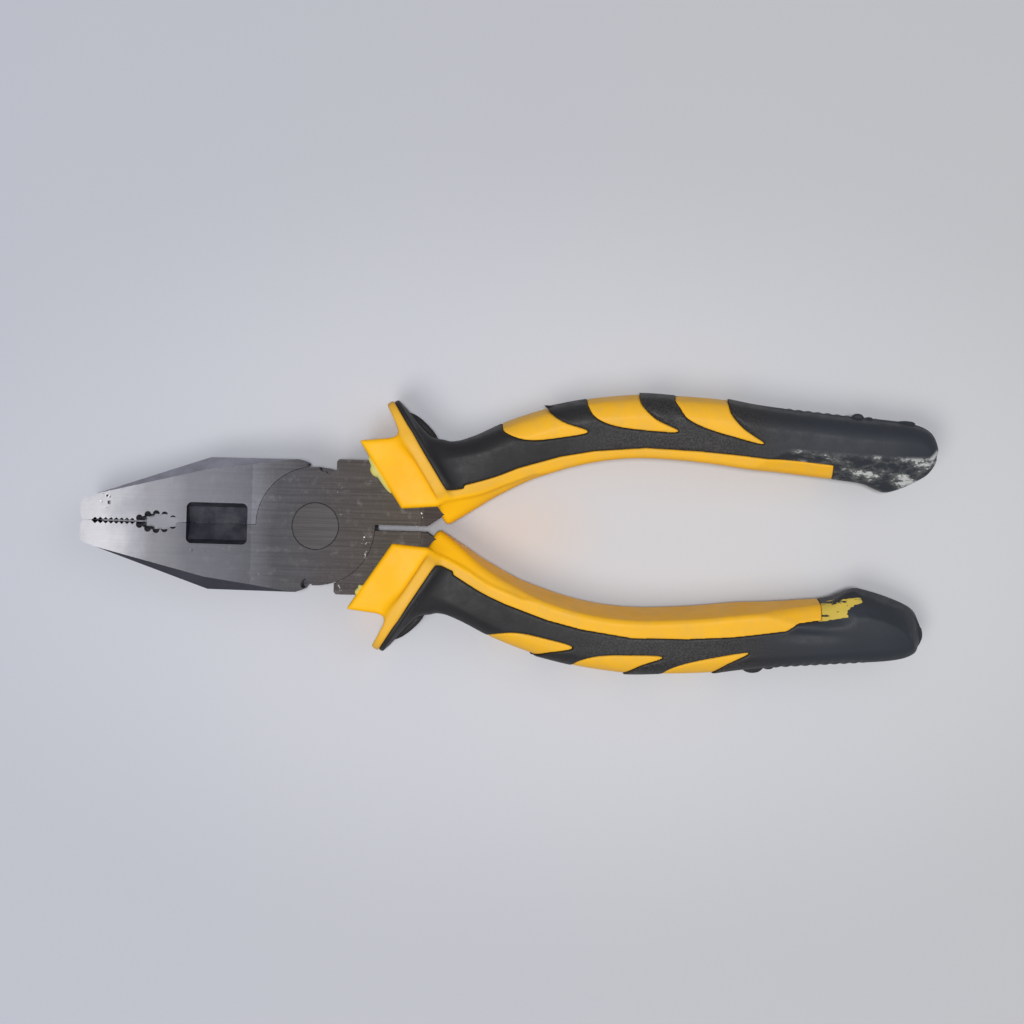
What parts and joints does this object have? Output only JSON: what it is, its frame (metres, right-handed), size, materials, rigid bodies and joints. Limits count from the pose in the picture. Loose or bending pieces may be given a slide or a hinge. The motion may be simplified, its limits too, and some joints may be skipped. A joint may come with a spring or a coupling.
{
  "type": "combination pliers",
  "caption": "Combination pliers with a riveted lap joint, toothed nose, oval pipe grip, side cutter and two-colour moulded handle grips with guards.",
  "frame": {"origin": "where the pivot axis meets the ground back face of the head", "axes": "+Z along the pivot axis towards the front face, +X along the tool from the jaw tips to the handle ends, +Y towards the upper handle"},
  "size_m": [0.2023, 0.0654, 0.0164],
  "materials": {
    "steel": "ground faces, forged dark sides",
    "rivet_steel": "peened and ground flush",
    "core_plastic": "satin moulded, yellow",
    "soft_rubber": "matt soft overmould, black"
  },
  "bodies": {
    "back_half": {"back_lap_lever": "steel", "lower_grip_core": "core_plastic", "lower_grip_overmould": "soft_rubber"},
    "front_half": {"front_lap_lever": "steel", "pivot_rivet": "rivet_steel", "upper_grip_core": "core_plastic", "upper_grip_overmould": "soft_rubber"}
  },
  "joints": [
    {"name": "jaw_pivot", "type": "hinge", "parent": "back_half", "child": "front_half", "pos_m": [0, 0, 0.006], "axis": [0, 0, 1], "range_deg": [0, 28]}
  ]
}
